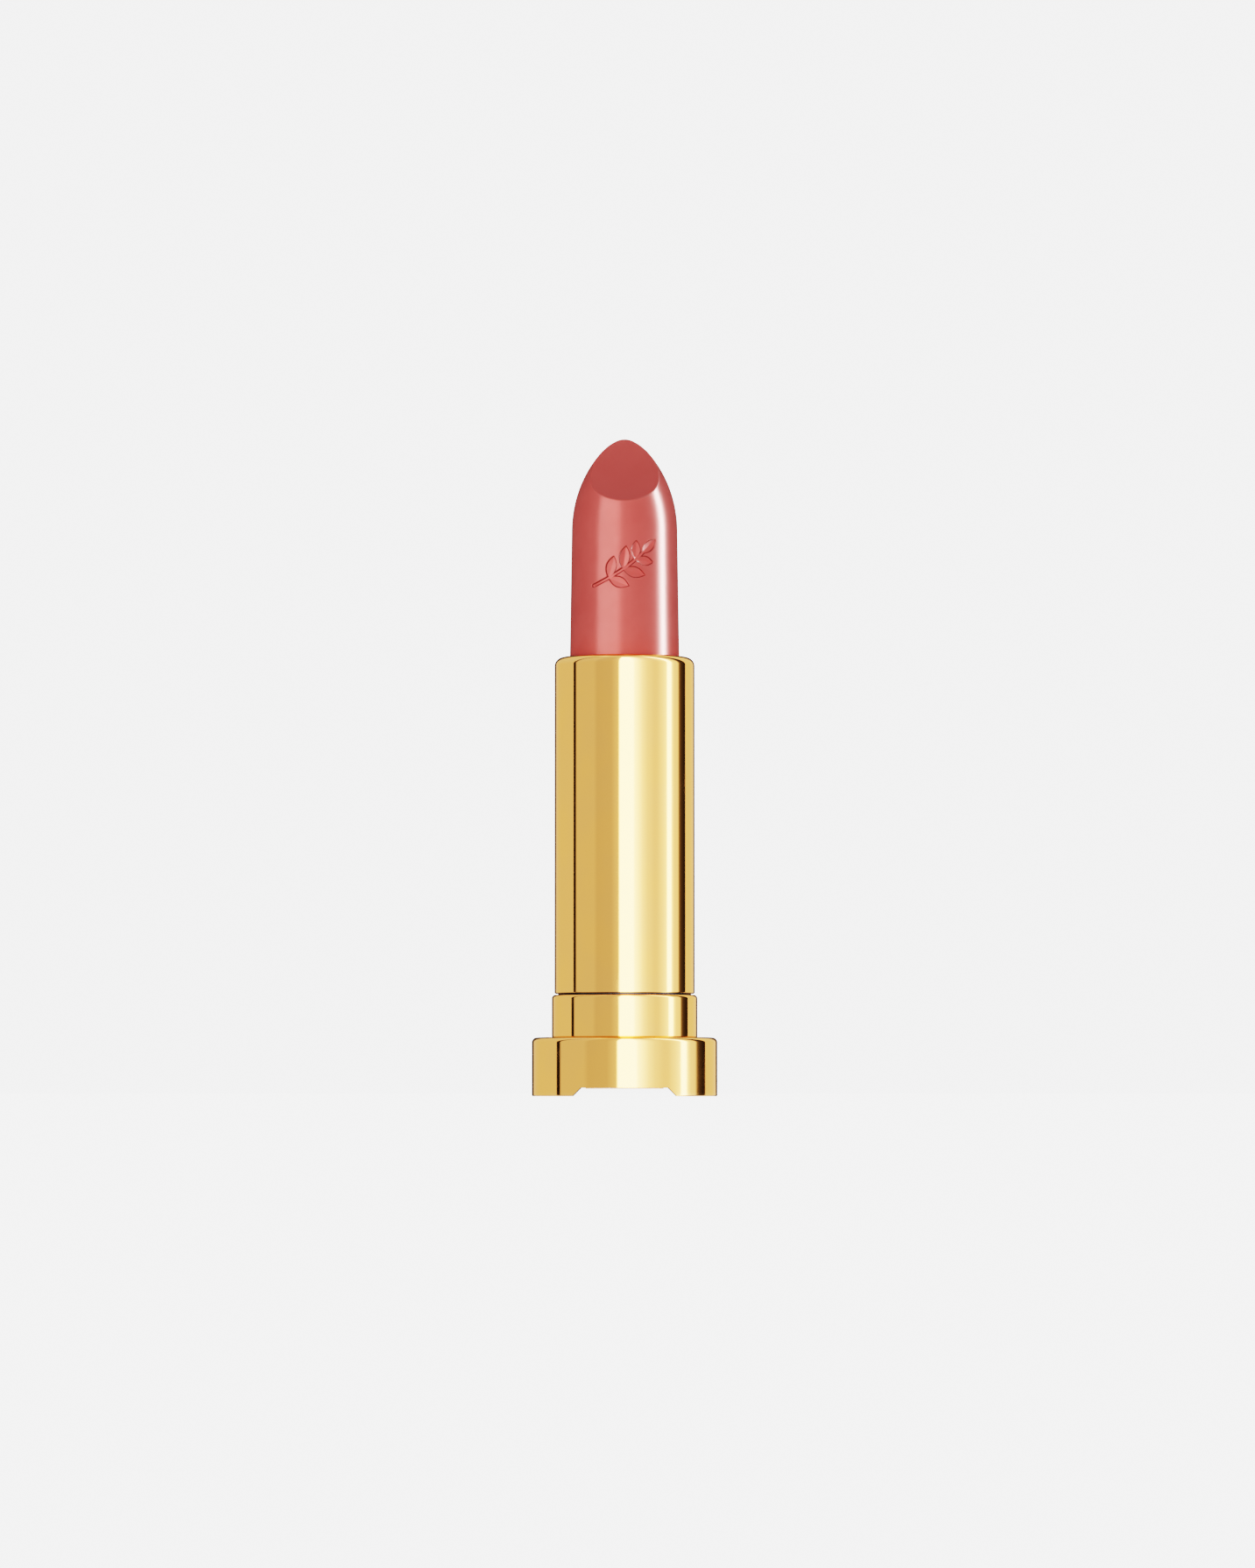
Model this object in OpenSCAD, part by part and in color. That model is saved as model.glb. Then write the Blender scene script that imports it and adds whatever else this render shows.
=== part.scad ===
// Swivel lipstick cartridge, shown wound all the way up. A turning tube with a helical
// cam surrounds a slotted guide tube, and a two-pinned cup carries the colour stick along
// it. Millimetres, +Z up, origin at the middle of the foot's underside. The slanted face
// of the stick looks to -Y and the key slot under the foot runs along Y.

/* [Foot] */
// Outside diameter of the foot
foot_d = 20.46; // [19.6:0.02:22]
// Height of the foot
foot_h = 6.45; // [5.8:0.05:7.5]
// Rounding of the foot's upper edge
foot_edge_r = 0.55; // [0.2:0.05:0.9]
// Depth of the key slot under the foot
key_slot_depth = 0.92; // [0.5:0.02:1.2]
// Width of the key slot at its roof; its flanks spread at 45 degrees below that
key_slot_w = 9.6; // [8.8:0.1:11]

/* [Collar] */
// Outside diameter of the collar ring
collar_d = 16.06; // [15.9:0.02:16.4]
// Height of the collar ring
collar_h = 4.7; // [4:0.05:6]
// Rounding of the collar's upper edge
collar_edge_r = 0.38; // [0.1:0.02:0.5]

/* [Turning tube] */
// Outside diameter of the turning tube
tube_d = 15.46; // [15.4:0.02:15.6]
// Wall of the turning tube
tube_wall = 0.38; // [0.3:0.02:0.4]
// Height of the tube's rim above the table
rim_z = 48.45; // [48:0.05:54]
// Outer radius of the rolled rim
rim_roll_r = 0.92; // [0.7:0.02:1.1]
// Gap between the collar and the turning tube
seam_gap = 0.15; // [0.1:0.01:0.3]

/* [Colour stick] */
// Diameter of the stick where the cup holds it
stick_d = 12.1; // [11.9:0.02:12.1]
// Diameter of the stick where the nose begins
stick_nose_d = 11.68; // [11.5:0.02:11.8]
// Height of the stick above the rim to where the nose begins
stick_straight_h = 13.85; // [12:0.05:16]
// Height of the uncut nose
nose_h = 10.9; // [9:0.1:13]
// Radius of the hollow slanted cut
cut_r = 24; // [20:0.5:60]
// Steepness of the cut at its lower end, in degrees from level
cut_slope = 37.7; // [34:0.1:44]
// Height above the nose's start at which the cut begins
cut_low_h = 3.2; // [2.4:0.1:4]

/* [Mechanism] */
// Turns of the tube from fully down to fully up
turns = 1.5; // [1:0.05:1.5]
// Rise of the cup for each turn
pitch = 16.5; // [14:0.1:16.5]
// Wall of the carrier cup
cup_wall = 0.33; // [0.28:0.01:0.34]
// Height of the carrier cup
cup_h = 8.6; // [7:0.1:9]
// Wall of the slotted guide tube
guide_wall = 0.4; // [0.36:0.01:0.4]
// Radial clearance between parts that slide or turn
running_gap = 0.06; // [0.04:0.01:0.06]
// Diameter of the two cup pins
pin_d = 1.9; // [1.6:0.05:2]
// Clearance on each side of a pin in its slots
pin_play = 0.1; // [0.08:0.01:0.14]

/* [Hidden] */
$fn = 96;

// Radii, from the outside in
foot_r = foot_d / 2;
collar_r = collar_d / 2;
tube_r = tube_d / 2;
tube_bore_r = tube_r - tube_wall;
cam_r = tube_bore_r - 0.01;
stick_r = stick_d / 2;
cup_bore_r = stick_r + 0.01;
cup_r = cup_bore_r + cup_wall;
guide_bore_r = cup_r + running_gap;
guide_r = guide_bore_r + guide_wall;
cam_bore_r = guide_r + running_gap;
core_r = 7.45;
rim_bore_r = cup_r + 0.15;
weight_r = guide_bore_r - 0.14;
pin_end_r = cam_r - 0.06;

// Heights, from the table up
edge_break = 0.12;
foot_floor_z = 2;
core_floor_z = 4;
core_top_z = 9.5;
brake_h = 0.4;
cam_low_z = core_top_z + brake_h + 0.05;
collar_top_z = foot_h + collar_h;
tube_low_z = collar_top_z + seam_gap;
rim_lip_h = 0.38;
guide_top_z = rim_z - rim_lip_h - 0.25;
bead_h = 0.7;
bead_r = guide_r + 0.34;
cam_top_z = guide_top_z - bead_h - 0.5;
cup_top_z = rim_z - 0.35;
cup_low_z = cup_top_z - cup_h;
cup_floor_h = 0.7;
pin_z = cup_low_z + 1.7;
travel = turns * pitch;
weight_h = 5;
label_h = 0.1;
label_r = key_slot_w / 2 - 0.5;

// Stick
nose_z = rim_z + stick_straight_h;
stick_low_z = cup_low_z + cup_floor_h;
nose_steps = 18;
nose_p = 2.1;
nose_q = 0.75;

// Points of an arc about [x, y], from angle a to angle b
function arc(x, y, r, a, b, n = 8) =
    [for (i = [0:n]) [x + r * cos(a + (b - a) * i / n), y + r * sin(a + (b - a) * i / n)]];

// Radius of the uncut nose at t, from 0 at its start to 1 at its tip
function nose_r(t) = stick_nose_d / 2 * pow(1 - pow(t, nose_p), nose_q);

// Outline of the stick in the half plane x >= 0
function stick_outline() = concat(
    [[0, stick_low_z], [stick_r, stick_low_z], [stick_r, cup_top_z]],
    [for (i = [0:nose_steps - 1])
        let (t = sin(90 * i / nose_steps)) [nose_r(t), nose_z + nose_h * t]],
    [[0, nose_z + nose_h]]);

// Plain ring between two radii and two heights
module ring(r_in, r_out, z_low, z_high) {
    rotate_extrude()
        polygon([[r_in, z_low], [r_out, z_low], [r_out, z_high], [r_in, z_high]]);
}

// Upright slot with round ends, through both walls of a tube along X. Heights are those
// of the pin's middle at each end
module pin_slot_pair(half_w, z_low, z_high, reach) {
    translate([-reach, -half_w, z_low])
        cube([2 * reach, 2 * half_w, z_high - z_low]);
    for (z = [z_low, z_high])
        translate([-reach, 0, z])
            rotate([0, 90, 0])
                cylinder(h = 2 * reach, r = half_w);
}

// Helical cutter for one cam track. It passes through the middle of a pin that stands at
// angle 0 when the cup is at the top
module cam_track() {
    half_w = pin_d / 2 + pin_play;
    lead = atan(pitch / (2 * PI * cam_bore_r));
    half_a = asin(half_w / sin(lead) / cam_bore_r);
    run_h = travel + 2 * half_w;
    low_z = pin_z - travel - half_w;
    track_turn = 360 * run_h / pitch;
    inner = cam_bore_r - 0.5;
    outer = (cam_r + 0.3) / cos(half_a);
    translate([0, 0, low_z])
        rotate([0, 0, -360 * (travel + half_w) / pitch])
            linear_extrude(height = run_h, twist = -track_turn,
                    slices = ceil(track_turn / 10), segments = 4)
                polygon([
                    [inner * cos(half_a), -inner * sin(half_a)],
                    [outer * cos(half_a), -outer * sin(half_a)],
                    [outer * cos(half_a), outer * sin(half_a)],
                    [inner * cos(half_a), inner * sin(half_a)]
                ]);
}

// Turned gold foot, with a bore for the core and the key slot across its underside
module foot_shell() {
    color("goldenrod")
        difference() {
            rotate_extrude()
                polygon(concat(
                    [[0, 0]],
                    arc(foot_r - edge_break, edge_break, edge_break, -90, 0, 4),
                    arc(foot_r - foot_edge_r, foot_h - foot_edge_r, foot_edge_r, 0, 90),
                    [[core_r, foot_h], [core_r, foot_floor_z], [0, foot_floor_z]]));
            rotate([90, 0, 0])
                linear_extrude(height = 3 * foot_r, center = true)
                    polygon([
                        [-key_slot_w / 2, key_slot_depth],
                        [key_slot_w / 2, key_slot_depth],
                        [key_slot_w / 2 + key_slot_depth + 1, -1],
                        [-key_slot_w / 2 - key_slot_depth - 1, -1]
                    ]);
        }
}

// Gold band that stands on the foot and centres the turning cam
module collar_ring() {
    color("gold")
        rotate_extrude()
            polygon(concat(
                [[core_r, foot_h]],
                arc(collar_r - edge_break, foot_h + edge_break, edge_break, -90, 0, 3),
                arc(collar_r - collar_edge_r, collar_top_z - collar_edge_r, collar_edge_r, 0, 90, 6),
                [[core_r, collar_top_z]]));
}

// Moulded plug pressed into the foot; it holds the guide tube and the weight
module base_core() {
    color("dimgray")
        rotate_extrude()
            polygon([
                [0, foot_floor_z], [core_r, foot_floor_z], [core_r, core_top_z],
                [guide_r, core_top_z], [guide_r, core_floor_z], [0, core_floor_z]
            ]);
}

// Steel slug that gives the foot its heft
module base_weight() {
    color("slategray")
        rotate_extrude()
            polygon([
                [0, core_floor_z], [weight_r - 0.3, core_floor_z], [weight_r, core_floor_z + 0.3],
                [weight_r, core_floor_z + weight_h - 0.3],
                [weight_r - 0.3, core_floor_z + weight_h], [0, core_floor_z + weight_h]
            ]);
}

// Moulded tube with two upright slots that keep the cup from turning. The bead near its
// top traps the cam
module guide_tube() {
    color("whitesmoke")
        difference() {
            rotate_extrude()
                polygon([
                    [guide_bore_r, core_floor_z], [guide_r, core_floor_z],
                    [guide_r, guide_top_z - bead_h - 0.35], [bead_r, guide_top_z - bead_h],
                    [bead_r, guide_top_z - 0.35], [guide_r, guide_top_z],
                    [guide_bore_r, guide_top_z]
                ]);
            pin_slot_pair(pin_d / 2 + pin_play, pin_z - travel, pin_z, foot_r);
        }
}

// Silicone friction washer between the core and the cam
module brake_ring() {
    color("orangered")
        ring(guide_r + 0.05, core_r - 0.05, core_top_z, core_top_z + brake_h);
}

// Blank paper disc on the roof of the key slot
module shade_label() {
    color("white")
        ring(0, label_r, key_slot_depth - label_h, key_slot_depth);
}

// Gold tube that the fingers turn; its top edge is rolled inwards
module outer_tube() {
    color("gold")
        rotate_extrude()
            polygon(concat(
                [[tube_bore_r, tube_low_z]],
                arc(tube_r - edge_break, tube_low_z + edge_break, edge_break, -90, 0, 3),
                arc(tube_r - rim_roll_r, rim_z - rim_roll_r, rim_roll_r, 0, 90, 10),
                [[rim_bore_r, rim_z], [rim_bore_r, rim_z - rim_lip_h]],
                arc(tube_r - rim_roll_r, rim_z - rim_roll_r, rim_roll_r - tube_wall, 90, 0, 6)));
}

// Cam sleeve glued inside the turning tube, with two helical tracks
module spiral_cam() {
    color("burlywood")
        difference() {
            ring(cam_bore_r, cam_r, cam_low_z, cam_top_z);
            for (a = [0, 180])
                rotate([0, 0, a])
                    cam_track();
        }
}

// Metal cup with a vented floor and two pins that run in the guide slots and cam tracks
module carrier_cup() {
    color("silver") {
        rotate_extrude()
            polygon([
                [1.5, cup_low_z], [cup_r, cup_low_z], [cup_r, cup_top_z - 0.08],
                [cup_r - 0.08, cup_top_z], [cup_bore_r, cup_top_z],
                [cup_bore_r, cup_low_z + cup_floor_h], [1.5, cup_low_z + cup_floor_h]
            ]);
        difference() {
            translate([-pin_end_r, 0, pin_z])
                rotate([0, 90, 0])
                    cylinder(h = 2 * pin_end_r, r = pin_d / 2);
            translate([0, 0, cup_low_z - 1])
                cylinder(h = cup_h + 2, r = cup_bore_r + 0.1);
        }
    }
}

// Colour stick: a slightly tapered rod with an ogive nose and a hollow slanted cut
module bullet() {
    cut_front = nose_r(cut_low_h / nose_h);
    color("salmon")
        difference() {
            rotate_extrude()
                polygon(stick_outline());
            translate([0, -cut_front - cut_r * sin(cut_slope),
                    nose_z + cut_low_h + cut_r * cos(cut_slope)])
                rotate([0, 90, 0])
                    cylinder(h = 4 * stick_d, r = cut_r, center = true);
        }
}

foot_shell();
collar_ring();
base_core();
base_weight();
guide_tube();
brake_ring();
shade_label();
outer_tube();
spiral_cam();
carrier_cup();
bullet();
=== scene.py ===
import math

import bmesh
import bpy
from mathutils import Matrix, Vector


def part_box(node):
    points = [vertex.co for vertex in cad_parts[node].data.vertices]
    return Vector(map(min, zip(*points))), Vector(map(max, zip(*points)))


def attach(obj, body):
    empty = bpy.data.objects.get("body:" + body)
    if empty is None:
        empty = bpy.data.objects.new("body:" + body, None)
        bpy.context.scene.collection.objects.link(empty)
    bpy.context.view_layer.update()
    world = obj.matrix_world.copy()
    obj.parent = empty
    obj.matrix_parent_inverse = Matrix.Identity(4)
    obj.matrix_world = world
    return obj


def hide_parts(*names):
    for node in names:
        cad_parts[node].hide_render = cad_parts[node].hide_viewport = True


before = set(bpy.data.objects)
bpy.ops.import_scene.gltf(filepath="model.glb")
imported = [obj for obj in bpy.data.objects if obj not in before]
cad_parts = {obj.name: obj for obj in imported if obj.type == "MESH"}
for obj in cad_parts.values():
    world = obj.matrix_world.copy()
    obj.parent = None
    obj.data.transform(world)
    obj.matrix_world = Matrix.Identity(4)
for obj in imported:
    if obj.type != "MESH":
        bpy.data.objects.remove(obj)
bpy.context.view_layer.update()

mm = 0.001


# ---- Foot ----------------------------------------------------------------------------
# The wide gold foot is turned from aluminium bar, polished and gold anodised. The core is
# pressed into its bore, and a key slot with 45 degree flanks is milled across its underside.

foot_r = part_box("foot_shell")[1].x
foot_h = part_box("foot_shell")[1].z
core_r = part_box("base_core")[1].x
foot_floor_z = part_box("base_core")[0].z
foot_edge_r = 0.55 * mm
edge_break = 0.12 * mm
key_slot_w = 9.6 * mm
key_slot_depth = 0.92 * mm
turned_sides = 256
near = 0.004 * mm


def blank(name, radius, low_z, high_z, sides=turned_sides):
    """Adds a solid bar round Z from low_z to high_z and opens it for shaping."""
    bpy.ops.object.select_all(action="DESELECT")
    bpy.ops.mesh.primitive_cylinder_add(
        vertices=sides, radius=radius, depth=high_z - low_z,
        location=(0, 0, (low_z + high_z) / 2))
    part = bpy.context.object
    part.name = part.data.name = name
    bpy.ops.object.transform_apply(location=True, rotation=False, scale=False)
    bpy.ops.object.mode_set(mode="EDIT")
    return part


def pick(part, kind, test):
    """In edit mode, selects the FACE, EDGE or VERT items whose points all pass the test."""
    bpy.ops.mesh.select_mode(type=kind)
    bpy.ops.mesh.select_all(action="DESELECT")
    shape = bmesh.from_edit_mesh(part.data)
    items = {"FACE": shape.faces, "EDGE": shape.edges, "VERT": shape.verts}[kind]
    for item in items:
        points = [item] if kind == "VERT" else item.verts
        item.select = all(test(point.co) for point in points)
    shape.select_flush_mode()
    bmesh.update_edit_mesh(part.data)


def pick_rings(part, *rings):
    """Selects the round edges at each (radius, height), to within near."""
    pick(part, "EDGE", lambda p: any(
        abs(p.xy.length - radius) < near and abs(p.z - height) < near
        for radius, height in rings))


def pick_cap(part, height):
    """Selects the flat faces that lie at one height, to within near."""
    pick(part, "FACE", lambda p: abs(p.z - height) < near)


def bevel(width, segments):
    """Rounds the selected edges."""
    bpy.ops.mesh.bevel(offset=width, segments=segments, affect="EDGES")


def extrude(x, y, z):
    """Extrudes what is selected and moves it by x, y and z."""
    bpy.ops.mesh.extrude_region_move(TRANSFORM_OT_translate={"value": (x, y, z)})


def combine(part, tool, operation="DIFFERENCE"):
    """Cuts the tool's shape out of the part, or welds it on, and throws the tool away."""
    bpy.ops.object.select_all(action="DESELECT")
    bpy.context.view_layer.objects.active = part
    part.select_set(True)
    change = part.modifiers.new("change", "BOOLEAN")
    change.operation = operation
    change.solver = "EXACT"
    change.object = tool
    bpy.ops.object.modifier_apply(modifier=change.name)
    bpy.data.objects.remove(tool)


def settle(part):
    """Leaves edit mode and smooths the piece, with each flat or round face kept true."""
    if bpy.context.mode == "EDIT_MESH":
        bpy.ops.object.mode_set(mode="OBJECT")
    bpy.ops.object.select_all(action="DESELECT")
    bpy.context.view_layer.objects.active = part
    part.select_set(True)
    bpy.ops.object.shade_smooth_by_angle(angle=math.radians(30))
    true_faces = part.modifiers.new("true faces", "WEIGHTED_NORMAL")
    true_faces.keep_sharp = True
    true_faces.weight = 100
    bpy.ops.object.modifier_apply(modifier=true_faces.name)


foot = blank("foot", foot_r, 0, foot_h)
pick_cap(foot, foot_h)
bpy.ops.mesh.inset(thickness=foot_r - core_r)
extrude(0, 0, foot_floor_z - foot_h)
pick_rings(foot, (foot_r, foot_h))
bevel(foot_edge_r, 10)
pick_rings(foot, (foot_r, 0))
bevel(edge_break, 4)
bpy.ops.object.mode_set(mode="OBJECT")

cutter_below = 1 * mm
cutter_h = key_slot_depth + cutter_below
cutter_mouth_w = key_slot_w + 2 * cutter_h
bpy.ops.object.select_all(action="DESELECT")
bpy.ops.mesh.primitive_cube_add(size=1, location=(0, 0, (key_slot_depth - cutter_below) / 2))
key_cutter = bpy.context.object
key_cutter.scale = (key_slot_w, 3 * foot_r, cutter_h)
bpy.ops.object.transform_apply(location=True, rotation=True, scale=True)
bpy.ops.object.mode_set(mode="EDIT")
pick_cap(key_cutter, -cutter_below)
bpy.ops.transform.resize(value=(cutter_mouth_w / key_slot_w, 1, 1))
bpy.ops.object.mode_set(mode="OBJECT")
combine(foot, key_cutter)
settle(foot)


class Lead:
    """One socket of a node tree. Sums on it add the Math nodes that work them out."""

    def __init__(self, tree, socket=None):
        self.tree = tree
        self.socket = socket

    def node(self, kind, settings=None, inputs=None, output=0):
        """Adds a node: its settings first, then the values or links of its sockets. The
        setting "stops" is a ramp's list of places and colours."""
        made = self.tree.nodes.new("ShaderNode" + kind)
        for name, value in (settings or {}).items():
            if name != "stops":
                setattr(made, name, value)
                continue
            stops = made.color_ramp.elements
            stops.remove(stops[1])
            for count, (place, shade) in enumerate(value):
                stop = stops.new(place) if count else stops[0]
                stop.position = place
                stop.color = shade
        for name, value in (inputs or {}).items():
            if isinstance(value, Lead):
                self.tree.links.new(value.socket, made.inputs[name])
            else:
                made.inputs[name].default_value = value
        return Lead(self.tree, made.outputs[output]) if made.outputs else made

    def sum_of(self, operation, a, b=0.0):
        """One Math node, for the operators below and for the sums that have none."""
        return self.node("Math", {"operation": operation}, {0: a, 1: b})

    def __add__(self, other):
        return self.sum_of("ADD", self, other)

    def __sub__(self, other):
        return self.sum_of("SUBTRACT", self, other)

    def __rsub__(self, other):
        return self.sum_of("SUBTRACT", other, self)

    def __mul__(self, other):
        return self.sum_of("MULTIPLY", self, other)

    def __truediv__(self, other):
        return self.sum_of("DIVIDE", self, other)

    def __pow__(self, other):
        return self.sum_of("POWER", self, other)

    __radd__ = __add__
    __rmul__ = __mul__

    def between(self, low, high):
        """0 below low and 1 above high, with a smooth rise from one to the other."""
        return self.node("MapRange", {"interpolation_type": "SMOOTHSTEP"},
                         {"Value": self, "From Min": low, "From Max": high})

    def blend(self, first, second):
        """The first colour where this is 0 and the second where it is 1."""
        return self.node("Mix", {"data_type": "RGBA"}, {0: self, 6: first, 7: second}, output=2)


def colour(red, green, blue):
    """An opaque colour."""
    return (red, green, blue, 1)


def new_finish(name):
    """A material with an empty tree. Gives the material and the lead to build from."""
    material = bpy.data.materials.new(name)
    material.use_nodes = True
    material.node_tree.nodes.clear()
    return material, Lead(material.node_tree)


def wear(part, material):
    """Gives a new piece its finish."""
    part.data.materials.clear()
    part.data.materials.append(material)


def surface(lead, **inputs):
    """Ends a tree with one Principled surface. The keys are its sockets in lower case."""
    sockets = {name.replace("_", " ").title().replace("Ior", "IOR"): value
               for name, value in inputs.items()}
    skin = lead.node("BsdfPrincipled", None, sockets)
    return lead.node("OutputMaterial", None, {"Surface": skin})


def gold_finish(name, rims, shaded_seams=()):
    """Polished gold anodising over turned aluminium. rims are the heights of the edges
    that are handled most, where the colour is thinner. The seam heights are the edges that
    lie close to another piece; there a thin dark line of painted shade deepens the shadow in the
    gap."""
    material, lead = new_finish(name)
    place = lead.node("TexCoord", output="Object")
    height = lead.node("SeparateXYZ", None, {0: place}, output="Z")
    lathe = lead.node("TexNoise", {"noise_dimensions": "1D"},
                      {"W": height * 2600, "Detail": 3.0, "Roughness": 0.6})
    cloud = lead.node("TexNoise", None, {"Vector": place, "Scale": 170.0, "Detail": 4.0})
    grease = cloud.between(0.5, 0.72)
    speck = lead.node("TexNoise", None, {"Vector": place, "Scale": 1500.0, "Detail": 2.0})
    rubbed = 0
    for rim in rims:
        away = lead.sum_of("ABSOLUTE", height - rim)
        rubbed = (1 - away.between(0.02 * mm, 0.5 * mm)) + rubbed
    rubbed = lead.sum_of("MINIMUM", rubbed * cloud.between(0.3, 0.62), 1.0)
    tone = cloud.between(0.35, 0.65).blend(colour(0.91, 0.418, 0.116), colour(0.87, 0.408, 0.12))
    tone = (rubbed * 0.5).blend(tone, colour(0.90, 0.50, 0.19))
    # A thin dark line of painted shade at each seam, where the gap to the next piece lies in
    # shadow.
    for shaded_seam in shaded_seams:
        away = lead.sum_of("ABSOLUTE", height - shaded_seam)
        tone = (0.85 - 0.85 * away.between(0.02 * mm, 0.08 * mm)).blend(
            tone, colour(0.10, 0.045, 0.012))
    grain = lead.node("Bump", None, {
        "Strength": 0.3, "Distance": 0.0002 * mm, "Height": lathe + speck * 0.5})
    surface(lead, base_color=tone, metallic=1.0, normal=grain,
            specular_tint=colour(1, 0.82, 0.6),
            roughness=0.035 + 0.03 * lathe + 0.05 * grease + 0.06 * rubbed)
    return material


wear(foot, gold_finish("gold foot", [foot_h, 0]))
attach(foot, "base")
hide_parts("foot_shell")


# ---- Shade label ---------------------------------------------------------------------
# A blank disc of coated paper, stuck to the roof of the key slot. The paper keeps a
# faint fibre and the coating a soft shine.


def repaint(node, material):
    """Gives a CAD piece its finish."""
    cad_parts[node].material_slots[0].material = material


def paper_finish():
    """Coated paper: long fibres that show through, and patches where the coating is duller."""
    material, lead = new_finish("label paper")
    place = lead.node("TexCoord", output="Object")
    fibre_place = lead.node("Mapping", None, {"Vector": place, "Scale": (1.0, 3.2, 1.0)})
    fibre = lead.node("TexNoise", None, {
        "Vector": fibre_place, "Scale": 5200.0, "Detail": 6.0, "Distortion": 1.2})
    patch = lead.node("TexNoise", None, {"Vector": place, "Scale": 600.0, "Detail": 2.0})
    tone = (fibre * 0.6 + patch * 0.4).between(0.3, 0.7).blend(
        colour(0.80, 0.785, 0.75), colour(0.87, 0.86, 0.83))
    relief = lead.node("Bump", None, {
        "Strength": 0.5, "Distance": 0.003 * mm, "Height": fibre})
    surface(lead, base_color=tone, normal=relief, roughness=0.42 + 0.2 * patch)
    return material


repaint("shade_label", paper_finish())


# ---- Core, washer and weight ---------------------------------------------------------
# A black moulded plug joins foot, collar and guide tube. A steel slug in it gives the
# foot its heft, and a silicone washer on top of it brakes the turning cam.


def moulded_finish(name, dark, light, grain_mm, dull):
    """Moulded plastic or rubber: a spark-eroded skin, with slow flow clouds under it."""
    material, lead = new_finish(name)
    place = lead.node("TexCoord", output="Object")
    skin = lead.node("TexNoise", None, {
        "Vector": place, "Scale": 1 / (grain_mm * mm), "Detail": 3.0, "Roughness": 0.65})
    flow = lead.node("TexNoise", None, {
        "Vector": place, "Scale": 210.0, "Detail": 3.0, "Distortion": 2.0})
    tone = flow.between(0.3, 0.7).blend(dark, light)
    relief = lead.node("Bump", None, {
        "Strength": 0.5, "Distance": 0.004 * mm, "Height": skin})
    surface(lead, base_color=tone, normal=relief, roughness=dull + 0.12 * flow)
    return material


def steel_finish():
    """Free-cutting steel as it leaves the lathe: fine rings round the axis, thin oil."""
    material, lead = new_finish("turned steel")
    place = lead.node("TexCoord", output="Object")
    x, y, z = (lead.node("SeparateXYZ", None, {0: place}, output=axis) for axis in "XYZ")
    across = (x * x + y * y) ** 0.5
    ring = lead.node("TexNoise", {"noise_dimensions": "1D"},
                     {"W": (across + z) * 14000, "Detail": 4.0, "Roughness": 0.8})
    oil = lead.node("TexNoise", None, {"Vector": place, "Scale": 300.0, "Detail": 3.0})
    tone = oil.between(0.4, 0.7).blend(colour(0.45, 0.46, 0.48), colour(0.37, 0.375, 0.385))
    relief = lead.node("Bump", None, {
        "Strength": 0.5, "Distance": 0.002 * mm, "Height": ring})
    surface(lead, base_color=tone, metallic=1.0, normal=relief,
            roughness=0.28 + 0.15 * ring - 0.08 * oil)
    return material


repaint("base_core", moulded_finish("black moulding", colour(0.020, 0.020, 0.021),
                                    colour(0.032, 0.032, 0.034), 0.06, 0.42))
repaint("base_weight", steel_finish())
repaint("brake_ring", moulded_finish("silicone", colour(0.42, 0.11, 0.05),
                                     colour(0.50, 0.14, 0.06), 0.03, 0.6))


# ---- Guide tube ----------------------------------------------------------------------
# A white moulded tube, fixed in the core. Two upright slots keep the cup from turning,
# and the bead near its top snaps over the cam.

guide_low_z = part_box("guide_tube")[0].z
guide_top_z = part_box("guide_tube")[1].z
bead_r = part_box("guide_tube")[1].x
guide_r = 6.85 * mm
guide_bore_r = 6.45 * mm
bead_h = 0.7 * mm
bead_ramp = 0.35 * mm
bead_edge_r = 0.12 * mm
slot_half_w = 1.05 * mm
slot_corner_r = 0.999 * slot_half_w
slot_low_z, slot_high_z = 16.45 * mm, 41.2 * mm
inner_sides = 192


def bore_through(part, outer_r, bore_r, low_z, high_z):
    """Opens a straight bore through a blank, between its two flat ends."""
    for height in (low_z, high_z):
        pick_cap(part, height)
        bpy.ops.mesh.inset(thickness=outer_r - bore_r)
        bpy.ops.mesh.delete(type="FACE")
    pick_rings(part, (bore_r, low_z), (bore_r, high_z))
    bpy.ops.mesh.bridge_edge_loops()


guide = blank("guide", guide_r, guide_low_z, guide_top_z, sides=inner_sides)
bead_low_z, bead_high_z = guide_top_z - bead_h, guide_top_z - bead_ramp
for height in (bead_low_z - bead_ramp, bead_low_z, bead_high_z):
    bpy.ops.mesh.select_all(action="SELECT")
    bpy.ops.mesh.bisect(plane_co=(0, 0, height), plane_no=(0, 0, 1))
pick_rings(guide, (guide_r, bead_low_z), (guide_r, bead_high_z))
bpy.ops.transform.resize(value=(bead_r / guide_r, bead_r / guide_r, 1))
bore_through(guide, guide_r, guide_bore_r, guide_low_z, guide_top_z)
pick_rings(guide, (bead_r, bead_low_z), (bead_r, bead_high_z))
bevel(bead_edge_r, 4)
bpy.ops.object.mode_set(mode="OBJECT")

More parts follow.
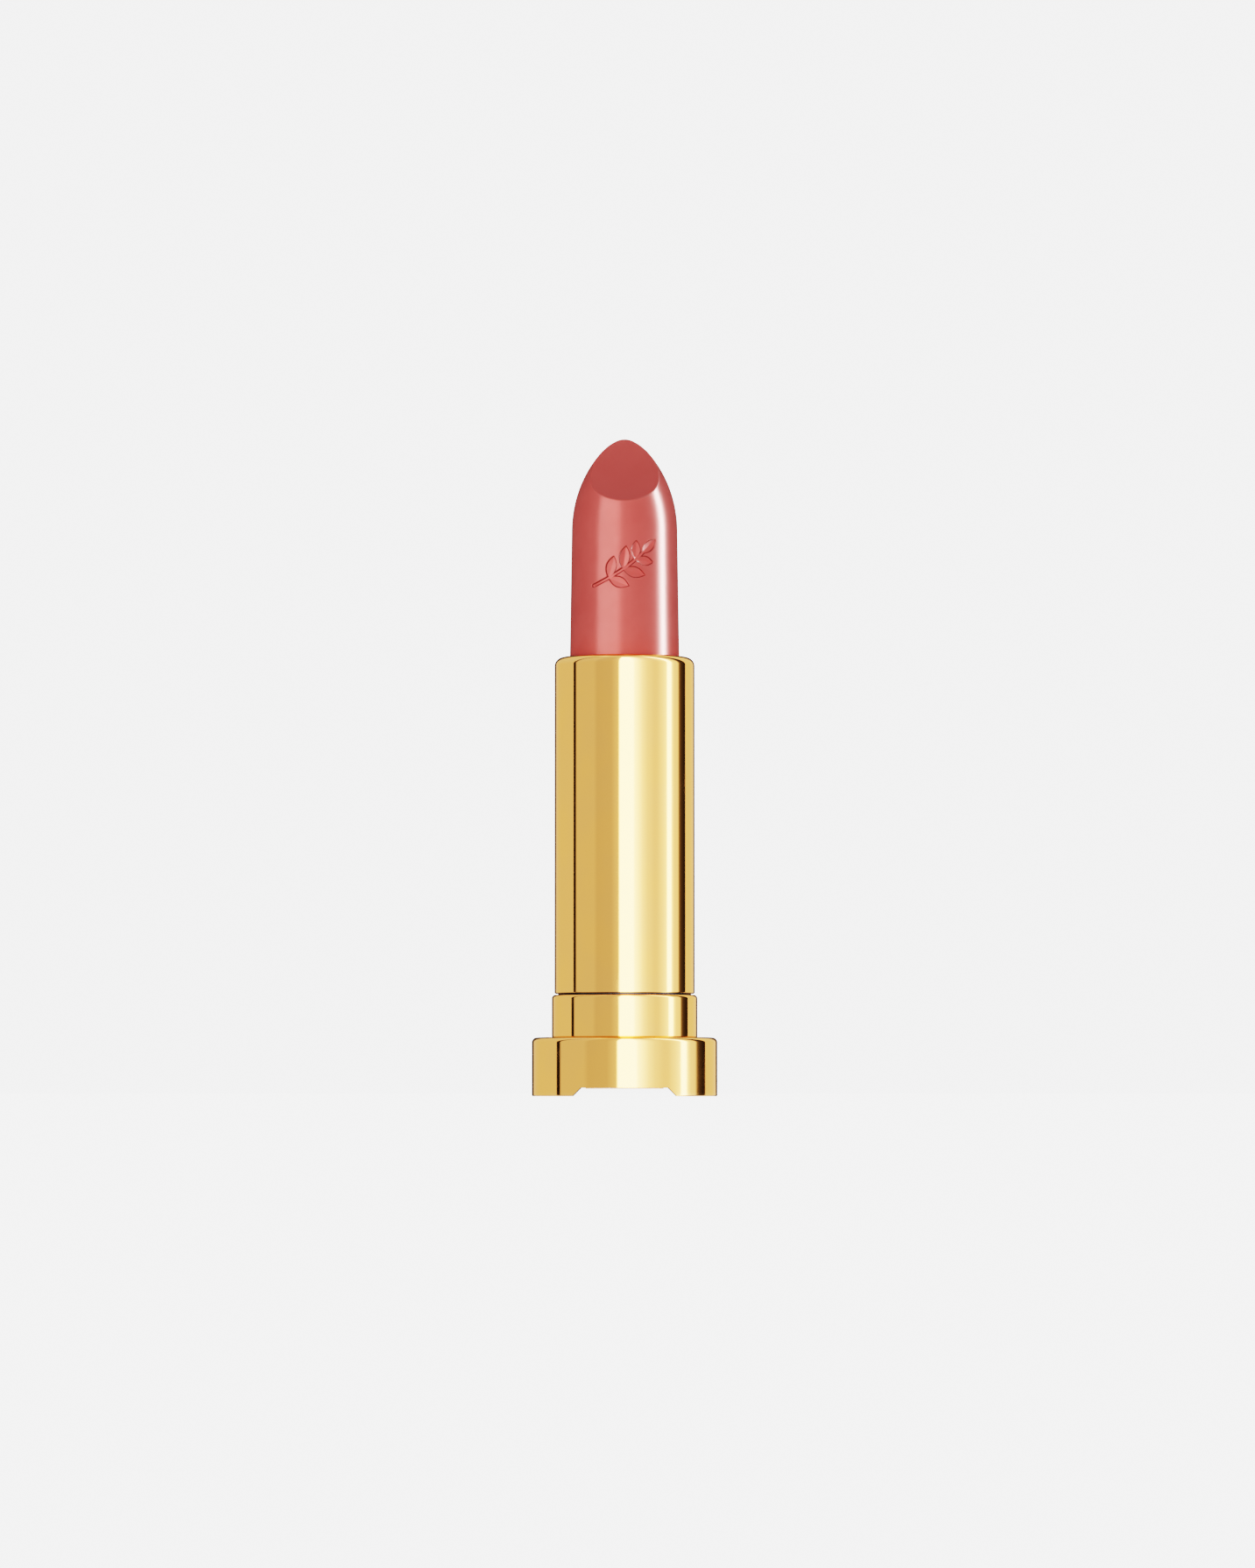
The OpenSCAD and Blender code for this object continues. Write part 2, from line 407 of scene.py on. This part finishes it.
bpy.ops.object.select_all(action="DESELECT")
bpy.ops.mesh.primitive_cube_add(size=1, location=(0, 0, (slot_low_z + slot_high_z) / 2))
slot_cutter = bpy.context.object
slot_cutter.scale = (3 * guide_r, 2 * slot_half_w, slot_high_z - slot_low_z + 2 * slot_half_w)
bpy.ops.object.transform_apply(location=True, rotation=True, scale=True)
bpy.ops.object.mode_set(mode="EDIT")
bpy.ops.mesh.select_mode(type="EDGE")
bpy.ops.mesh.select_all(action="DESELECT")
for edge in bmesh.from_edit_mesh(slot_cutter.data).edges:
    edge.select = abs(edge.verts[0].co.x - edge.verts[1].co.x) > guide_r
bevel(slot_corner_r, 16)
bpy.ops.object.mode_set(mode="OBJECT")
combine(guide, slot_cutter)
settle(guide)
wear(guide, moulded_finish("white moulding", colour(0.76, 0.75, 0.705),
                           colour(0.80, 0.79, 0.75), 0.05, 0.33))
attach(guide, "base")
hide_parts("guide_tube")


# ---- Collar --------------------------------------------------------------------------
# A drawn gold band, pressed over the core so that it stands on the foot. The turning tube
# runs just above it.

collar_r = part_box("collar_ring")[1].x
collar_top_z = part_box("collar_ring")[1].z
collar_edge_r = 0.38 * mm

collar = blank("collar", collar_r, foot_h, collar_top_z)
bore_through(collar, collar_r, core_r, foot_h, collar_top_z)
pick_rings(collar, (collar_r, collar_top_z))
bevel(collar_edge_r, 8)
pick_rings(collar, (collar_r, foot_h))
bevel(edge_break, 4)
settle(collar)
wear(collar, gold_finish("gold collar", [], [foot_h, collar_top_z]))
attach(collar, "base")
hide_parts("collar_ring")


# ---- Spiral cam ----------------------------------------------------------------------
# A dark acetal sleeve, glued inside the turning tube, with two helical tracks that
# lift the cup by its pins.

repaint("spiral_cam", moulded_finish("dark acetal", colour(0.030, 0.028, 0.026),
                                     colour(0.042, 0.040, 0.037), 0.05, 0.3))


# ---- Turning tube --------------------------------------------------------------------
# The long gold tube that the fingers turn. It is drawn from thin aluminium, and its top
# edge is rolled inwards to a lip that closes on the stick.

tube_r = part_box("outer_tube")[1].x
tube_low_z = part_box("outer_tube")[0].z
rim_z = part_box("outer_tube")[1].z
tube_wall = 0.38 * mm
rim_roll_r = 0.92 * mm
lip_r = 6.54 * mm
lip_edge_r = 0.08 * mm
tube_bore_r = tube_r - tube_wall
lip_low_z = rim_z - tube_wall

tube = blank("tube", tube_r, tube_low_z, rim_z)
pick_cap(tube, tube_low_z)
bpy.ops.mesh.inset(thickness=tube_wall)
extrude(0, 0, lip_low_z - tube_low_z)
bpy.ops.mesh.inset(thickness=tube_bore_r - lip_r)
bpy.ops.mesh.delete(type="FACE")
pick_cap(tube, rim_z)
bpy.ops.mesh.inset(thickness=tube_r - lip_r)
bpy.ops.mesh.delete(type="FACE")
pick_rings(tube, (lip_r, rim_z), (lip_r, lip_low_z))
bpy.ops.mesh.bridge_edge_loops()
pick_rings(tube, (tube_r, rim_z))
bevel(rim_roll_r, 14)
pick_rings(tube, (tube_bore_r, lip_low_z))
bevel(rim_roll_r - tube_wall, 8)
pick_rings(tube, (lip_r, rim_z), (lip_r, lip_low_z))
bevel(lip_edge_r, 3)
pick_rings(tube, (tube_r, tube_low_z))
bevel(edge_break, 4)
settle(tube)
wear(tube, gold_finish("gold tube", [rim_z - rim_roll_r / 2], [tube_low_z]))
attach(tube, "sleeve")
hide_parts("outer_tube")


# ---- Carrier cup ---------------------------------------------------------------------
# A thin cup drawn from bare aluminium grips the foot of the stick. Its floor is vented,
# and two turned pins pass out through the guide slots into the cam tracks.

cup_low_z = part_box("carrier_cup")[0].z
cup_top_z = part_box("carrier_cup")[1].z
pin_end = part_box("carrier_cup")[1].x
cup_r = 6.39 * mm
cup_wall = 0.33 * mm
cup_floor_h = 0.7 * mm
cup_corner_r = 0.45 * mm
cup_lip_r = 0.07 * mm
vent_r = 1.5 * mm
pin_r = 0.95 * mm
pin_root = 6.2 * mm
pin_edge_r = 0.15 * mm

cup = blank("cup", cup_r, cup_low_z, cup_top_z, sides=inner_sides)
pick_cap(cup, cup_top_z)
bpy.ops.mesh.inset(thickness=cup_wall)
extrude(0, 0, cup_low_z + cup_floor_h - cup_top_z)
bpy.ops.mesh.inset(thickness=cup_r - cup_wall - vent_r)
bpy.ops.mesh.delete(type="FACE")
pick_cap(cup, cup_low_z)
bpy.ops.mesh.inset(thickness=cup_r - vent_r)
bpy.ops.mesh.delete(type="FACE")
pick_rings(cup, (vent_r, cup_low_z), (vent_r, cup_low_z + cup_floor_h))
bpy.ops.mesh.bridge_edge_loops()
pick_rings(cup, (cup_r, cup_low_z))
bevel(cup_corner_r, 6)
pick_rings(cup, (cup_r, cup_top_z), (cup_r - cup_wall, cup_top_z))
bevel(cup_lip_r, 3)
bpy.ops.object.mode_set(mode="OBJECT")

bpy.ops.object.select_all(action="DESELECT")
bpy.ops.mesh.primitive_cylinder_add(
    vertices=48, radius=pin_r, depth=pin_end - pin_root, rotation=(0, math.pi / 2, 0),
    location=((pin_end + pin_root) / 2, 0, slot_high_z))
pin = bpy.context.object
bpy.ops.object.transform_apply(location=True, rotation=True, scale=True)
bpy.ops.object.mode_set(mode="EDIT")
pick(pin, "EDGE", lambda p: p.x > pin_end - near)
bevel(pin_edge_r, 3)
bpy.ops.object.mode_set(mode="OBJECT")
bpy.ops.object.duplicate()
other_pin = bpy.context.object
bpy.ops.transform.rotate(value=math.pi, orient_axis="Z", center_override=(0, 0, 0))
bpy.ops.object.transform_apply(location=True, rotation=True, scale=True)
combine(cup, pin, "UNION")
combine(cup, other_pin, "UNION")
settle(cup)


def drawn_finish():
    """Bare drawn aluminium: die lines that run up the wall, and a dull oxide bloom."""
    material, lead = new_finish("drawn aluminium")
    place = lead.node("TexCoord", output="Object")
    die_place = lead.node("Mapping", None, {"Vector": place, "Scale": (1.0, 1.0, 0.03)})
    die = lead.node("TexNoise", None, {
        "Vector": die_place, "Scale": 5200.0, "Detail": 4.0, "Roughness": 0.7})
    bloom = lead.node("TexNoise", None, {"Vector": place, "Scale": 420.0, "Detail": 3.0})
    tone = bloom.between(0.35, 0.7).blend(colour(0.80, 0.80, 0.80), colour(0.72, 0.725, 0.735))
    relief = lead.node("Bump", None, {
        "Strength": 0.4, "Distance": 0.002 * mm, "Height": die})
    surface(lead, base_color=tone, metallic=1.0, normal=relief,
            roughness=0.22 + 0.16 * die + 0.1 * bloom)
    return material


wear(cup, drawn_finish())
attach(cup, "carrier")
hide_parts("carrier_cup")


# ---- Colour stick --------------------------------------------------------------------
# The stick is moulded coral wax, slightly tapered, with an ogive nose, and the cup grips
# its foot. A hollow slanted cut gives its face, and a plain leaf sprig is pressed into
# its front.

stick_low_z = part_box("bullet")[0].z
stick_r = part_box("bullet")[1].x
nose_z = rim_z + 13.85 * mm
nose_h = 10.9 * mm
nose_base_r = 5.84 * mm
cut_r = 24 * mm
cut_slope = math.radians(37.7)
cut_low_h = 3.2 * mm
fine_low_z, fine_high_z = 54.4 * mm, 61.8 * mm
fine_step = 0.055 * mm
plain_rings, nose_rings = 16, 72
front_steps, back_steps = 300, 60


def nose_r(share):
    """Radius of the uncut nose, from 0 at its start to 1 at its tip."""
    return nose_base_r * (1 - share ** 2.1) ** 0.75


def side_r(height):
    """Radius of the uncut stick at a height."""
    if height <= cup_top_z:
        return stick_r
    if height < nose_z:
        share = (height - cup_top_z) / (nose_z - cup_top_z)
        return stick_r + (nose_base_r - stick_r) * share
    return nose_r(min(1, (height - nose_z) / nose_h))


cut_y = -nose_r(cut_low_h / nose_h) - cut_r * math.sin(cut_slope)
cut_z = nose_z + cut_low_h + cut_r * math.cos(cut_slope)


def first_point(name, x, y, z):
    """A new piece of one point, in edit mode."""
    bpy.ops.object.select_all(action="DESELECT")
    bpy.ops.mesh.primitive_plane_add(size=mm, location=(0, 0, 0), enter_editmode=True)
    part = bpy.context.object
    part.name = part.data.name = name
    bpy.ops.mesh.merge(type="CENTER")
    bpy.ops.mesh.select_mode(type="VERT")
    bpy.ops.mesh.select_all(action="SELECT")
    bpy.ops.transform.translate(value=(x, y, z))
    return part


stick = first_point("stick", 0, 0, stick_low_z)
fine_rings = round((fine_high_z - fine_low_z) / fine_step)
heights = [stick_low_z, (stick_low_z + cup_top_z) / 2, cup_top_z]
heights += [cup_top_z + (fine_low_z - cup_top_z) * k / plain_rings
            for k in range(1, plain_rings + 1)]
heights += [fine_low_z + fine_step * k for k in range(1, fine_rings + 1)]
heights += [nose_z + nose_h * math.sin(math.pi / 2 * k / nose_rings)
            for k in range(nose_rings + 1)]
last_r, last_z = 0, stick_low_z
for height in heights:
    extrude(side_r(height) - last_r, 0, height - last_z)
    last_r, last_z = side_r(height), height
bpy.ops.mesh.select_all(action="SELECT")
bpy.ops.mesh.spin(steps=front_steps, angle=math.pi, center=(0, 0, 0), axis=(0, 0, 1))
# The back is spun from the same profile, in fewer steps.
pick(stick, "EDGE", lambda p: p.x > -0.001 * mm and abs(p.y) < 0.0001 * mm)
bpy.ops.mesh.spin(steps=back_steps, angle=-math.pi, center=(0, 0, 0), axis=(0, 0, 1))
bpy.ops.mesh.select_all(action="SELECT")
bpy.ops.mesh.remove_doubles(threshold=0.002 * mm)
bpy.ops.mesh.normals_make_consistent(inside=False)
bpy.ops.object.mode_set(mode="OBJECT")

knife_half_w = 7 * mm
knife_from, knife_to = math.radians(28), math.radians(70)
knife_back = (0, -8 * mm, 12 * mm)
knife_cuts, knife_steps = 89, 110
knife = first_point("knife", -knife_half_w, cut_y + cut_r * math.sin(knife_from),
                    cut_z - cut_r * math.cos(knife_from))
extrude(2 * knife_half_w, 0, 0)
bpy.ops.mesh.select_all(action="SELECT")
bpy.ops.mesh.subdivide(number_cuts=knife_cuts)
bpy.ops.mesh.spin(steps=knife_steps, angle=knife_from - knife_to,
                  center=(0, cut_y, cut_z), axis=(1, 0, 0))
bpy.ops.mesh.select_all(action="SELECT")
extrude(*knife_back)
bpy.ops.mesh.select_all(action="SELECT")
bpy.ops.mesh.normals_make_consistent(inside=False)
bpy.ops.object.mode_set(mode="OBJECT")
combine(stick, knife)

bpy.ops.object.mode_set(mode="EDIT")
soft_edge = 0.2 * mm
pick(stick, "VERT", lambda p: p.z > nose_z
     and abs(math.hypot(p.y - cut_y, p.z - cut_z) - cut_r) < soft_edge
     and abs(side_r(p.z) - p.xy.length) < soft_edge)
bpy.ops.mesh.vertices_smooth(factor=0.5, repeat=3)
bpy.ops.object.mode_set(mode="OBJECT")

sprig_x = 0.3 * mm
sprig_z = 58.2 * mm
sprig_half_w = 4.6 * mm
sprig_depth = 0.3 * mm
wall_share = 0.5
leaf_wall = 0.07 * mm
stem_half_w = 0.2 * mm
stem_share = 0.8
stem_bend_r = 16 * mm
stem_rise = math.radians(36)
stem_from, stem_to = -4.5 * mm, 2.4 * mm
stem_steps = 40
leaf_turn = math.radians(48)


def stem_at(reach):
    """A point of the bent stem and its direction, at a length along it from the middle."""
    turn = stem_rise + reach / stem_bend_r
    x = stem_bend_r * (math.sin(turn) - math.sin(stem_rise))
    z = stem_bend_r * (math.cos(stem_rise) - math.cos(turn))
    return (x, z), turn


def in_leaf(across, up, root, turn, length, width):
    """How far a point lies inside one pointed leaf, in metres; below 0 is outside."""
    x, z = across - root[0], up - root[1]
    along = x * math.cos(turn) + z * math.sin(turn)
    off = -x * math.sin(turn) + z * math.cos(turn)
    share = 2 * along / length - 1
    if abs(share) >= 1:
        return -leaf_wall
    return width / 2 * (1 - share * share) - abs(off)


# Each leaf's place along the stem, its length and its width.
leaf_pairs = ((-2.5 * mm, 2.5 * mm, 1.2 * mm),
              (-0.6 * mm, 2.6 * mm, 1.2 * mm),
              (1.2 * mm, 2.1 * mm, 1.05 * mm))
end_leaf = (2.2 * mm, 2.3 * mm, 1.05 * mm)
leaves = []
for reach, length, width in leaf_pairs:
    root, turn = stem_at(reach)
    for side in (-1, 1):
        leaves.append((root, turn + side * leaf_turn, length, width))
reach, length, width = end_leaf
root, turn = stem_at(reach)
leaves.append((root, turn, length, width))
stem_points = [stem_at(stem_from + (stem_to - stem_from) * k / stem_steps)[0]
               for k in range(stem_steps + 1)]


def press_at(inside, half_w):
    """A steep wall down to wall_share of the depth, then a V down to the middle line."""
    wall = min(1, max(0, inside / leaf_wall + 0.5))
    return wall_share * wall + (1 - wall_share) * min(1, max(0, inside / half_w))


def sprig_press(point):
    """How deep the sprig is pressed at a point, from 0 to 1."""
    if point.y > 0 or not fine_low_z < point.z < fine_high_z:
        return 0
    across = point.xy.length * math.atan2(point.x, -point.y) - sprig_x
    up = point.z - sprig_z
    if abs(across) > sprig_half_w:
        return 0
    from_stem = min(math.hypot(across - x, up - z) for x, z in stem_points)
    deepest = stem_share * press_at(stem_half_w - from_stem, stem_half_w)
    for root, turn, length, width in leaves:
        inside = in_leaf(across, up, root, turn, length, width)
        deepest = max(deepest, press_at(inside, width / 2))
    return deepest


presses = [sprig_press(vertex.co) for vertex in stick.data.vertices]
stick.data.attributes.new("pressed_in", "FLOAT", "POINT")
stick.data.attributes["pressed_in"].data.foreach_set("value", presses)
pressed = stick.vertex_groups.new(name="pressed")
for index, press in enumerate(presses):
    if press > 0:
        pressed.add([index], press, "REPLACE")
stamp = stick.modifiers.new("stamp", "DISPLACE")
stamp.vertex_group = pressed.name
stamp.strength = -sprig_depth
stamp.mid_level = 0
bpy.ops.object.modifier_apply(modifier=stamp.name)
bpy.ops.object.shade_smooth_by_angle(angle=math.radians(40))


def wax_finish():
    """Satin coral wax with a fine moulded skin. The cut face is rougher and painted darker as
    painted shade, with faint drag marks that run down the slope. The walls of the pressed
    sprig are painted dark as painted shade."""
    material, lead = new_finish("coral wax")
    place = lead.node("TexCoord", output="Object")
    y, z = (lead.node("SeparateXYZ", None, {0: place}, output=axis) for axis in "YZ")
    rise = z - cut_z
    out = y - cut_y
    from_axis = (rise * rise + out * out) ** 0.5
    cut_face = 1 - from_axis.between(cut_r + 0.02 * mm, cut_r + 0.12 * mm)
    cut_face = cut_face * z.between(nose_z, nose_z + mm)
    pigment = lead.node("TexNoise", None, {"Vector": place, "Scale": 420.0, "Detail": 5.0})
    bloom = lead.node("TexNoise", None, {"Vector": place, "Scale": 95.0, "Detail": 3.0})
    skin = lead.node("TexNoise", None, {"Vector": place, "Scale": 2600.0, "Detail": 4.0})
    drag_place = lead.node("Mapping", None, {"Vector": place, "Scale": (2400.0, 90.0, 90.0)})
    drag = lead.node("TexNoise", None, {"Vector": drag_place, "Scale": 1.0, "Detail": 3.0})
    tone = pigment.between(0.35, 0.65).blend(
        colour(0.570, 0.097, 0.085), colour(0.595, 0.105, 0.092))
    tone = (bloom.between(0.45, 0.75) * 0.35).blend(tone, colour(0.61, 0.114, 0.100))
    # The cut face is painted darker: painted shade for the way it faces the light.
    tone = (cut_face * 0.7).blend(tone, colour(0.36, 0.062, 0.055))
    pressed_in = lead.node("Attribute", {"attribute_name": "pressed_in"}, output="Fac")
    # The steep walls of the pressed sprig are painted dark: painted shade in the recess.
    edge = pressed_in.between(0.02, 0.2) * (1 - pressed_in.between(0.45, 0.62))
    tone = (edge * 0.85).blend(tone, colour(0.11, 0.016, 0.013))
    relief = skin * (1 - cut_face) + drag * cut_face * 3
    grain = lead.node("Bump", None, {
        "Strength": 0.5, "Distance": 0.004 * mm, "Height": relief})
    surface(lead, base_color=tone, normal=grain, specular_tint=colour(1, 0.31, 0.28),
            specular_ior_level=0.12, roughness=0.22 + 0.05 * bloom + 0.2 * cut_face)
    return material


wear(stick, wax_finish())
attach(stick, "carrier")
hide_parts("bullet")


# ---- Studio --------------------------------------------------------------------------
# A pale floor that runs into a pale wall, soft light all round, upright soft boxes that
# only some pieces mirror, and the camera low down in front of the foot.

floor_w = 8000 * mm
floor_z = -0.02 * mm
bpy.ops.object.select_all(action="DESELECT")
bpy.ops.mesh.primitive_plane_add(size=floor_w, location=(0, 0, floor_z))
floor = bpy.context.object
floor.name = "floor"
floor.visible_diffuse = False
floor.visible_glossy = False
material, lead = new_finish("pale floor")
lit = lead.node("BsdfDiffuse", None, {"Color": colour(0.8, 0.8, 0.8)})
glow = lead.node("Emission", None, {"Strength": 0.94})
from_above = lead.node("AddShader", None, {0: lit, 1: glow})
is_below = lead.node("NewGeometry", output="Backfacing")
skin = lead.node("MixShader", None, {
    0: is_below, 1: from_above, 2: lead.node("BsdfTransparent")})
lead.node("OutputMaterial", None, {"Surface": skin})
wear(floor, material)

# The ring of light that the pieces mirror: turns from the front in degrees, and levels.
ring_lights = [
    (-92.5, 0.1), (-92, 0.02), (-88, 0.02), (-86.8, 1.0), (-52, 1.0),
    (-46, 0.84), (-22, 0.88), (-10, 1.3), (-7.5, 10), (13.5, 10), (17, 6.4), (24, 4.4),
    (30, 3.0), (38, 2.15), (50, 1.7), (56, 1.75), (66, 2.5), (73, 3.4), (76, 10), (82, 10),
    (85, 3.4), (90, 2.1), (99, 1.8), (102, 0.25), (107, 0.09), (119, 0.02), (122, 0.12)]
world = bpy.data.worlds.new("studio")
bpy.context.scene.world = world
world.use_nodes = True
world.node_tree.nodes.clear()
lead = Lead(world.node_tree)
way = lead.node("TexCoord", output="Generated")
x, y, z = (lead.node("SeparateXYZ", None, {0: way}, output=axis) for axis in "XYZ")
azimuth = lead.sum_of("ARCTAN2", x, 0 - y)
brightest = max(level for _, level in ring_lights)
ring = lead.node(
    "ValToRGB",
    {"stops": [((turn + 180) / 360, colour(*[level / brightest] * 3))
               for turn, level in ring_lights]},
    {"Fac": azimuth / (2 * math.pi) + 0.5})
wall_level = 2.4
ceiling_level = 1.2
ceiling = z.between(0.9, 0.985)
mirrored = ring * brightest * (1 - ceiling) + ceiling * ceiling_level
soft = 0.55 + y * (y * 0.5 - 0.35)
to_camera = lead.node("LightPath", output="Is Camera Ray")
to_gloss = lead.node("LightPath", output="Is Glossy Ray")
level = soft + (mirrored - soft) * to_gloss
level = level + (wall_level - level) * to_camera
glow = lead.node("Background", None, {"Strength": level})
lead.node("OutputWorld", None, {"Surface": glow})

floor_only = bpy.data.collections.new("lit by the overhead light")
floor_only.objects.link(floor)
bpy.ops.object.light_add(type="SUN", rotation=(math.radians(12), math.radians(-14), 0))
overhead = bpy.context.object
overhead.name = "overhead"
overhead.data.energy = 2.75
overhead.data.angle = math.radians(70)
overhead.light_linking.receiver_collection = floor_only

box_far = 300 * mm
box_z = 60 * mm


def soft_box(name, parts, azimuth_deg, spread_deg, height, radiance):
    """An upright soft box that only these parts mirror. Its place and its half width are
    angles seen from the axis, and its height is in metres."""
    bpy.ops.object.light_add(type="AREA")
    lamp = bpy.context.object
    turn = math.radians(azimuth_deg)
    width = 2 * box_far * math.tan(math.radians(spread_deg))
    lamp.name = name
    lamp.location = (box_far * math.sin(turn), -box_far * math.cos(turn), box_z)
    lamp.rotation_euler = (math.pi / 2, 0, turn)
    lamp.data.shape = "RECTANGLE"
    lamp.data.size = width
    lamp.data.size_y = height
    lamp.data.energy = radiance * math.pi * width * height
    lamp.visible_camera = False
    lamp.visible_diffuse = False
    lit = bpy.data.collections.new(name)
    for part in parts:
        lit.objects.link(part)
    lamp.light_linking.receiver_collection = lit


soft_box("wax key", [stick], -34.5, 24.5, 0.5, 32)
soft_box("wax strip", [stick], 89, 4.8, 0.5, 380)
soft_box("gold left", [foot, collar, tube], -123.5, 31, 2.4, 0.8)
soft_box("gold right", [foot, collar, tube], 137, 18.5, 2.4, 1.0)

camera_place = (0.32 * mm, -720 * mm, 0.3 * mm)
camera_tilt = math.radians(2.718)
bpy.ops.object.camera_add(location=camera_place, rotation=(math.pi / 2 + camera_tilt, 0, 0))
camera = bpy.context.object
camera.data.sensor_width = 36
camera.data.lens = 149.64
camera.data.clip_start = 1 * mm
camera.data.clip_end = 50
bpy.context.scene.camera = camera
bpy.context.scene.view_settings.view_transform = "Filmic"
bpy.context.scene.view_settings.look = "High Contrast"
bpy.context.scene.view_settings.exposure = 0.3
